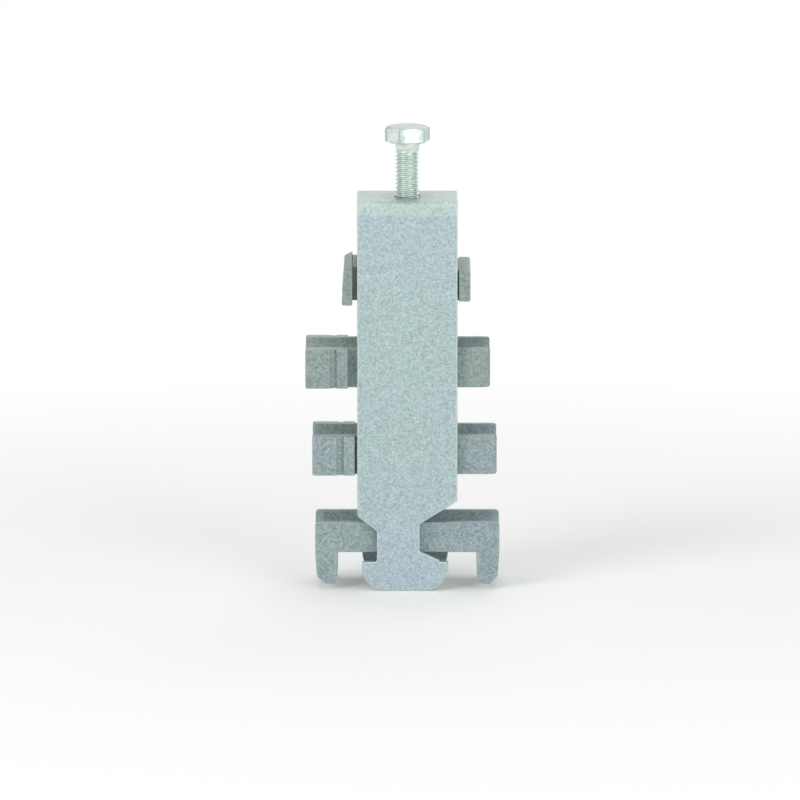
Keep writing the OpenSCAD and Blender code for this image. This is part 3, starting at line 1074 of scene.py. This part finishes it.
@dataclass
class CounterSaddle(Saddle):
    """The lowest saddle, which stands on its seat between two legs of its own."""

    node: str = "counter_saddle"
    body: Body = Body.COUNTER
    end_r: float = 1.0 * MM
    straddle_x: float = 17.4 * MM
    leg_draft: float = 0.4 * MM
    tip_chamfer: float = 2.0 * MM
    tip_taper: float = 0.75 * MM
    fillet: float = 0.5 * MM
    pocket_from: float = 1.0 * MM
    pocket_to: float = 7.5 * MM
    pocket_h: float = 2.0 * MM
    pocket_r: float = 0.5 * MM
    lean_below: float = 0.02 * MM

    def half_width(self, x: float) -> float:
        """Flat sides with soft ends."""
        return self.body_y - round_over(self.right - abs(x), self.corner_round)

    def underside(self, x: float) -> float:
        """Height of the seat, or of a leg's tip.

        Args:
            x: Place along the saddle.

        Returns:
            The height.
        """
        away, tip = abs(x), self.box[0].z
        if away < self.straddle_x:
            return -round_over(self.straddle_x - away, self.fillet)
        outer = away - (self.right - self.tip_chamfer)
        inner = self.straddle_x + self.tip_taper - away
        return tip + max(0.0, outer) + max(0.0, inner) * self.tip_chamfer / self.tip_taper

    def pocket(self, x: float) -> tuple[float, float]:
        """Depth of the pockets at x, and how far their corners draw in.

        Args:
            x: Place along the saddle.

        Returns:
            The depth and the corners' inset.
        """
        away = abs(x)
        if not self.pocket_from < away < self.pocket_to:
            return 0.0, self.pocket_r
        nearest = min(away - self.pocket_from, self.pocket_to - away)
        return self.pocket_h, round_over(nearest, self.pocket_r)

    def corners(self, x: float) -> list[Corner]:
        """Underside with its pockets, side and trough.

        Args:
            x: Place along the saddle.

        Returns:
            The half cross-section's corners.
        """
        width, under = self.half_width(x), self.underside(x)
        depth, inset = self.pocket(x)
        near, far = self.pocket_from + inset, self.pocket_to - inset
        top = self.box[1].z
        trough = Trough(top + self.rim_gap, self.trough_r(x), opens_up=True)
        rim = trough.rim(top - round_over(self.right - abs(x), self.end_r), width)
        soft = self.corner_round
        seat = [Corner(0.0, under), Corner(near, under), Corner(near, under + depth),
                Corner(far, under + depth), Corner(far, under)]
        side = [Corner(width, under, soft), Corner(width, rim[1], soft), Corner(*rim, soft)]
        return seat + side + trough.arc(rim[0] - soft)[::-1]

    def stations(self) -> list[float]:
        """Ends, legs, fillets and pockets, the same on both halves.

        Returns:
            The places along the saddle.
        """
        end = self.right
        right = (end_stations(end, -1, self.end_r, self.end_steps)
                 + end_stations(end, -1, self.corner_round, self.round_steps)
                 + [end - self.tip_chamfer, self.straddle_x + self.tip_taper, 0.0]
                 + end_stations(self.straddle_x, -1, self.fillet, self.round_steps)
                 + end_stations(self.pocket_from, 1, self.pocket_r, self.lip_steps)
                 + end_stations(self.pocket_to, -1, self.pocket_r, self.lip_steps))
        return right + [-x for x in right]

    def steps(self) -> list[float]:
        """The legs' inner faces and the pockets' end walls."""
        return [side * x for side in (1, -1)
                for x in (self.straddle_x, self.pocket_from, self.pocket_to)]

    def shell(self) -> Shell:
        """Skins the saddle, then leans the outside of its legs in from the seat down.

        Returns:
            The mesh.
        """
        shell = super().shell()
        everything = [*shell.verts, *shell.edges, *shell.faces]
        bmesh.ops.bisect_plane(shell, geom=everything, plane_co=(0.0, 0.0, -self.lean_below),
                               plane_no=(0.0, 0.0, 1.0))
        leg_h = -self.box[0].z - self.tip_chamfer
        inner = self.straddle_x + self.tip_taper
        outer = self.right - self.tip_chamfer
        for vert in shell.verts:
            outward = limited((abs(vert.co.x) - inner) / (outer - inner))
            lean = self.leg_draft * limited(-vert.co.z / leg_h) * outward
            vert.co.x -= math.copysign(lean, vert.co.x)
        return shell


@dataclass
class PressureSaddle(Saddle):
    """The saddle under the bolt, with a head at each end and the pocket for the thrust plate."""

    node: str = "pressure_saddle"
    body: Body = Body.PRESSURE
    end_steps: int = 5
    end_x: Range = (-16.35 * MM, 15.7 * MM)
    inner_x: Range = (-13.7 * MM, 12.85 * MM)
    body_z: Range = (63.8 * MM, 71.5 * MM)
    head_z: Range = (62.8 * MM, 72.9 * MM)
    slope: float = 0.8 * MM
    draft: float = 0.7 * MM
    draft_share: float = 0.6
    shoulder_h: float = 0.9 * MM
    shoulder_x: Range = (-12.5 * MM, -9.0 * MM)
    plate_gap: float = 0.1 * MM
    lip_over: float = 0.5 * MM
    pocket_r: float = 0.5 * MM
    recess_r: float = 3.0 * MM
    recess_depth: float = 1.2 * MM
    recess_steps: int = 20
    soft: float = 0.3 * MM
    plate: tuple[Vector, Vector] = field(init=False)
    pocket_x: float = field(init=False)

    def __post_init__(self) -> None:
        """Reads the plate's place from the frame and takes the full length before the draft."""
        super().__post_init__()
        self.left, self.right = self.end_x
        self.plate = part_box("thrust_plate")
        self.pocket_x = self.plate[1].x + self.plate_gap

    def half_width(self, x: float) -> float:
        """Left head, body and right head.

        Args:
            x: Place along the saddle.

        Returns:
            Half the width there.
        """
        if x < self.inner_x[0]:
            ends = (x - self.left, self.inner_x[0] - x)
        elif x > self.inner_x[1]:
            ends = (self.right - x, x - self.inner_x[1])
        else:
            return self.body_y
        return self.head_y - sum(round_over(gap, self.soft) for gap in ends)

    def faces_z(self, x: float) -> tuple[float, float]:
        """Lower and upper face at x.

        Args:
            x: Place along the saddle.

        Returns:
            Their heights.
        """
        neck = self.inner_x[0]
        if x < neck:
            low, high = self.head_z
            from_neck = (neck - x) / (neck - self.left - self.draft)
            drop = round_over(x - self.left, self.end_r) + round_over(neck - x, self.soft)
            return low + drop, high - self.slope * min(1.0, from_neck) - drop
        drop = round_over(self.right - x, self.end_r)
        top, foot = self.shoulder_x
        shoulder = self.shoulder_h * limited((foot - x) / (foot - top))
        return self.body_z[0] + drop, self.body_z[1] + shoulder - drop

    def pocket_corners(self, x: float, top: float) -> list[Corner]:
        """Mouth, pocket and rivet recess, drawn down to the centre line.

        Args:
            x: Place along the saddle.
            top: Height of the upper face there.

        Returns:
            The corners, all in one place past the pocket's ends.
        """
        from_end = self.pocket_x - abs(x)
        if from_end < 0:
            return [Corner(0.0, top, 0.0)] + [Corner(0.0, top)] * 6
        mouth = self.plate[1].y - self.lip_over - round_over(from_end, self.pocket_r)
        wide = self.plate[1].y + self.plate_gap
        lip, floor = self.plate[1].z + self.plate_gap, self.plate[0].z
        recess = math.sqrt(max(0.0, self.recess_r**2 - x**2))
        bottom = floor - self.recess_depth if recess else floor
        return [Corner(mouth, top, self.soft), Corner(mouth, lip), Corner(wide, lip),
                Corner(wide, floor), Corner(recess, floor), Corner(recess, bottom),
                Corner(0.0, bottom)]

    def corners(self, x: float) -> list[Corner]:
        """Trough, side, top and pocket.

        Args:
            x: Place along the saddle.

        Returns:
            The half cross-section's corners.
        """
        width = self.half_width(x)
        bottom, top = self.faces_z(x)
        trough = Trough(self.body_z[0] - self.press_gap, self.trough_r(x), opens_up=False)
        rim = trough.rim(bottom, width)
        shared = min(rim[0], trough.rim(self.body_z[0], self.body_y)[0])
        side = [Corner(*rim, self.soft), Corner(width, rim[1], self.soft),
                Corner(width, top, self.soft)]
        return trough.arc(shared - self.corner_round) + side + self.pocket_corners(x, top)

    def stations(self) -> list[float]:
        """Both heads, and the rounds of the pocket and its recess.

        Returns:
            The places along the saddle.
        """
        recess = [self.recess_r * math.sin(a)
                  for a in span(-math.pi / 2, math.pi / 2, self.recess_steps)]
        return (self.end_places(self.left, 1) + self.end_places(self.right, -1)
                + end_stations(self.inner_x[0], -1, self.soft, self.lip_steps)
                + end_stations(self.inner_x[1], 1, self.soft, self.lip_steps)
                + end_stations(-self.pocket_x, 1, self.pocket_r, self.round_steps)
                + end_stations(self.pocket_x, -1, self.pocket_r, self.round_steps) + recess
                + [self.left + self.flare_l, *self.shoulder_x, self.right - self.flare_l])

    def steps(self) -> list[float]:
        """Behind each head and at the pocket's two end walls."""
        return [*self.inner_x, -self.pocket_x, self.pocket_x]

    def slant(self, x: float, z: float) -> float:
        """Draft of the left head's end face.

        Args:
            x: Place along the saddle.
            z: Height.

        Returns:
            How far the point leans to the right.
        """
        up = (z - self.head_z[0]) / (self.head_z[1] - self.head_z[0])
        reach = self.draft_share * (self.inner_x[0] - self.left)
        return self.draft * up * max(0.0, 1 - (x - self.left) / reach)

    def shell(self) -> Shell:
        """Skins the saddle and closes the pocket's end walls with one face each.

        Returns:
            The mesh.
        """
        shell = super().shell()
        for wall in (-self.pocket_x, self.pocket_x):
            faces = [f for f in shell.faces if all(abs(v.co.x - wall) < 2 * TINY for v in f.verts)]
            bmesh.ops.dissolve_faces(shell, faces=faces)
        return shell


@dataclass
class Bolt(Piece):
    """The hexagon bolt: riveted spigot, rolled thread, washer face and chamfered head.

    The steps are points of its turned outline. Each gives how far the point lies outside the
    radius of its stretch, and how far above its foot, both in metres.
    """

    node: str = "bolt"
    body: Body = Body.BOLT
    slot: Slot = Slot.ZINC
    smooth_below: float = 40.0
    pitch: float = 1.0 * MM
    shank_r: float = 2.95 * MM
    thread_depth: float = 0.56 * MM
    crest_flat: float = 0.125
    root_flat: float = 0.25
    flank_softness: float = 0.45
    rings_per_pitch: int = 14
    plain_under_head: float = 1.5 * MM
    tip_cone: float = 0.7 * MM
    spigot_r: float = 1.95 * MM
    rivet_r: float = 2.7 * MM
    rivet_h: float = 1.0 * MM
    rivet_steps: tuple[Point, ...] = (
        (-0.5 * MM, 0.0), (-0.2 * MM, 0.15 * MM), (0.0, 0.5 * MM), (0.0, 0.9 * MM),
        (-0.1 * MM, 1.0 * MM))
    neck_steps: tuple[Point, ...] = (
        (0.0, -0.3 * MM), (0.08 * MM, -0.1 * MM), (0.3 * MM, 0.0))
    head_h: float = 4.0 * MM
    half_flats: float = 5.0 * MM
    hex_turn: float = 14.0
    washer_h: float = 0.3 * MM
    washer_r: float = 4.6 * MM
    washer_steps: tuple[Point, ...] = ((-0.05 * MM, 0.0), (0.0, 0.05 * MM), (0.0, 0.3 * MM))
    flat_r: float = 4.75 * MM
    crown_steps: tuple[Point, ...] = ((0.05 * MM, -0.035 * MM), (-0.15 * MM, 0.0))
    corner_r: float = 0.25 * MM
    corner_cut: float = 0.155
    edge_round: float = 0.12 * MM
    chamfer_insets: tuple[Point, ...] = (
        (0.0, 0.06 * MM), (0.03 * MM, 0.02 * MM), (0.12 * MM, 0.02 * MM))
    half_side: float = math.radians(30.0)
    side_steps: int = 8

    def dress(self, mesh: bpy.types.Mesh, palette: Palette) -> None:
        """The bolt is zinc plated all over."""
        mesh.materials.append(palette.zinc)

    def angles(self) -> list[float]:
        """Angles of the mesh's columns, closer together at the hexagon's corners.

        Returns:
            The angles in radians.
        """
        corner = self.half_flats / math.cos(self.half_side)
        near, side = self.corner_r * math.tan(self.half_side) / corner, 2 * self.half_side
        steps = [-near, -near / 2, 0.0, near / 2] + span(near, side - near, self.side_steps)[:-1]
        turn = math.radians(self.hex_turn)
        return [turn + side * i + step for i in range(6) for step in steps]

    def hexagon(self, angle: float, inset: float = 0.0) -> float:
        """Distance from the axis to the hexagon's outline, whose corners are blunt.

        Args:
            angle: Angle round the axis, in radians.
            inset: How far the flats are moved in.

        Returns:
            The distance.
        """
        off = (angle - math.radians(self.hex_turn)) % (2 * self.half_side) - self.half_side
        flats = self.half_flats - inset
        blunt = flats / math.cos(self.half_side) - self.corner_r * self.corner_cut
        return min(flats / math.cos(off), blunt)

    def thread_r(self, z: float, angle: float, start: float, end: float) -> float:
        """Radius of the rolled thread at a height and an angle.

        Args:
            z: Height.
            angle: Angle round the axis, in radians.
            start: Height at which the thread starts.
            end: Height at which it has run out.

        Returns:
            The radius.
        """
        phase = ((z - start) / self.pitch - angle / math.tau) % 1.0
        flank = (1 - self.crest_flat - self.root_flat) / 2
        share = limited(((1 - self.crest_flat) / 2 - abs(phase - 0.5)) / flank)
        soft = share * share * (3 - 2 * share)
        depth = self.thread_depth * (share + self.flank_softness * (soft - share))
        tip = self.shank_r - max(0.0, self.tip_cone - (z - start))
        return min(tip, self.shank_r - depth * limited((end - z) / self.pitch))

    def rings(self, angles: Sequence[float]) -> list[list[Point]]:
        """Radius and height of every column, ring by ring from the rivet to the head.

        Args:
            angles: The columns' angles.

        Returns:
            The rings.
        """
        foot, top = (corner.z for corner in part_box(self.node))
        plate_top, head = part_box("thrust_plate")[1].z, top - self.head_h
        shank_end, side = head - self.plain_under_head, head + self.washer_h

        def turned(radius: float, base: float, steps: Iterable[Point]) -> list[list[Point]]:
            """Rings that are the same all round."""
            return [[(radius + out, base + up)] * len(angles) for out, up in steps]

        count = round((shank_end - plate_top) / self.pitch * self.rings_per_pitch)
        spigot = turned(self.spigot_r, foot, ((0.0, self.rivet_h), (0.0, plate_top - foot)))
        thread = [[(self.thread_r(z, a, plate_top, shank_end), z) for a in angles]
                  for z in span(plate_top, shank_end, count)]
        flats = [[(self.hexagon(a, self.edge_round), side) for a in angles],
                 [(self.hexagon(a), side + self.edge_round) for a in angles]]
        flats += [[self.chamfered(self.hexagon(a), inset, top - drop) for a in angles]
                  for inset, drop in self.chamfer_insets]
        return (turned(self.rivet_r, foot, self.rivet_steps) + spigot + thread
                + turned(self.shank_r, head, self.neck_steps)
                + turned(self.washer_r, head, self.washer_steps)
                + flats + turned(self.flat_r, top, self.crown_steps))

    def chamfered(self, radius: float, inset: float, top: float) -> Point:
        """A point where the head's side turns into its chamfer, moved in by an inset."""
        slope = math.tan(self.half_side)
        return radius - inset, top - (radius - self.flat_r) * slope + inset * slope

    def shell(self) -> Shell:
        """Skins the rings and closes both ends.

        Returns:
            The mesh.
        """
        angles = self.angles()
        shell = bmesh.new()
        skin(shell, [[shell.verts.new((r * math.cos(a), r * math.sin(a), z))
                      for (r, z), a in zip(ring, angles)] for ring in self.rings(angles)])
        return shell


@dataclass(frozen=True)
class Lamp:
    """A soft box: its place and size in metres, its power in watts and its colour."""

    name: str
    place: tuple[float, float, float]
    size: tuple[float, float]
    power: float
    colour: tuple[float, float, float]

    def hang(self, aim: Vector) -> None:
        """Hangs the lamp and turns it towards a point.

        Args:
            aim: The point.
        """
        light = bpy.data.lights.new(self.name, "AREA")
        light.shape = "RECTANGLE"
        light.size, light.size_y = self.size
        light.energy = self.power
        light.color = self.colour
        lamp = added(self.name, light)
        lamp.location = self.place
        way = aim - Vector(self.place)
        lamp.rotation_euler = way.to_track_quat("-Z", "Y").to_euler()


LAMPS = (
    Lamp("left_box", (-0.75, -0.75, 0.5), (0.6, 0.6), 5.7, (1.0, 1.0, 0.95)),
    Lamp("right_box", (0.6, -0.9, 0.3), (0.5, 0.5), 4.1, (0.96, 0.98, 1.0)),
    Lamp("right_strip", (0.9, -0.6, 0.2), (0.08, 0.34), 1.0, (0.95, 0.98, 1.0)),
    Lamp("top_box", (0.0, 0.15, 1.1), (0.7, 0.7), 2.7, (1.0, 1.0, 1.0)),
    Lamp("back_box", (0.2, 0.95, 0.6), (0.8, 0.8), 2.1, (1.0, 1.0, 1.0)),
)


@dataclass
class Studio:
    """Floor, white surroundings, soft lamps and the camera."""

    even_light: float = 0.27
    floor_half: float = 6.0
    floor_gap: float = 0.05 * MM
    floor_colour: Colour = (0.9, 0.9, 0.9, 1.0)
    floor_lift: float = 0.2
    shadow_reach: Range = (0.1, 0.3)
    lamp_aim: tuple[float, float, float] = (0.0, 0.0, 45.0 * MM)
    elevation: float = 10.0
    distance: float = 3.0
    frame_px: float = 800.0
    metres_per_px: float = 0.25 * MM
    origin_px: Point = (407.3, 553.6)
    front_drop: float = 1.95 * MM
    clip_start: float = 0.01

    def build(self) -> None:
        """Builds everything round the clamp.

        The camera comes last, because it looks at the finished scene.
        """
        self.world()
        self.floor()
        for lamp in LAMPS:
            lamp.hang(Vector(self.lamp_aim))
        self.camera()

    def world(self) -> None:
        """White where it is seen or mirrored, and a pale even light elsewhere."""
        world = bpy.data.worlds.new("studio")
        bpy.context.scene.world = world
        world.use_nodes = True
        graph = Graph(world.node_tree)
        back = world.node_tree.nodes["Background"].inputs
        back["Color"].default_value = WHITE
        graph.put(back["Strength"], graph.remap(graph.seen(), 0.0, 1.0, self.even_light))

    def floor(self) -> None:
        """A plain pale floor that keeps the clamp's shadow and is clear from below."""
        shell = bmesh.new()
        bmesh.ops.create_grid(shell, x_segments=1, y_segments=1, size=self.floor_half)
        mesh = bpy.data.meshes.new("floor")
        shell.to_mesh(mesh)
        shell.free()
        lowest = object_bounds()[0].z
        floor = added("floor", mesh)
        floor.location.z = lowest - self.floor_gap
        mesh.materials.append(self.floor_material())
        floor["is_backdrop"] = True

    def floor_material(self) -> bpy.types.Material:
        """Matt and lifted a little where it is seen, and white further out.

        Returns:
            The material.
        """
        made = bpy.data.materials.new("pale_floor")
        made.use_nodes = True
        graph = Graph(made.node_tree)
        made.node_tree.nodes.remove(made.node_tree.nodes["Principled BSDF"])
        seen = graph.seen()
        matt = graph.add("ShaderNodeBsdfDiffuse", Color=self.floor_colour).outputs[0]
        lift = graph.add("ShaderNodeEmission", Color=WHITE,
                         Strength=graph.maths("MULTIPLY", seen, self.floor_lift)).outputs[0]
        white = graph.add("ShaderNodeEmission", Color=WHITE).outputs[0]
        away = graph.add("ShaderNodeVectorMath", Vector=graph.place())
        away.operation = "LENGTH"
        far = graph.maths("MULTIPLY", graph.remap(away.outputs["Value"], *self.shadow_reach), seen)
        near = graph.feed(graph.add("ShaderNodeAddShader"), matt, lift)
        above = graph.feed(graph.add("ShaderNodeMixShader"), far, near, white)
        below = graph.add("ShaderNodeBsdfTransparent").outputs[0]
        backfacing = graph.add("ShaderNodeNewGeometry").outputs["Backfacing"]
        graph.put(made.node_tree.nodes["Material Output"].inputs["Surface"],
                  graph.feed(graph.add("ShaderNodeMixShader"), backfacing, above, below))
        return made

    def camera(self) -> None:
        """Looks slightly down at the clamp's front, with the photograph's framing."""
        tilt = math.radians(self.elevation)
        half = self.frame_px / 2
        x = (half - self.origin_px[0]) * self.metres_per_px
        rise = (self.origin_px[1] - half) * self.metres_per_px - self.front_drop
        target = Vector((x, 0.0, rise / math.cos(tilt)))
        back = Vector((0.0, -math.cos(tilt), math.sin(tilt)))
        data = bpy.data.cameras.new("camera")
        camera = added("camera", data)
        camera.location = target + back * self.distance
        camera.rotation_euler = (-back).to_track_quat("-Z", "Y").to_euler()
        data.lens = data.sensor_width * self.distance / (self.frame_px * self.metres_per_px)
        data.clip_start = self.clip_start
        bpy.context.scene.camera = camera
        bpy.context.scene.view_settings.view_transform = "Standard"


def main() -> None:
    """Builds the clamp piece by piece, then the studio round it."""
    logging.basicConfig(level=logging.INFO, format="%(name)s %(message)s")
    palette = Palette()
    pieces = [
        Strap(),
        CounterSaddle(),
        MiddleSaddle(node="lower_saddle", body=Body.LOWER),
        MiddleSaddle(node="upper_saddle", body=Body.UPPER),
        PressureSaddle(),
        ThrustPlate(),
        Bolt(),
    ]
    for piece in pieces:
        piece.build(palette)
    Studio().build()


if __name__ == "__main__":
    main()
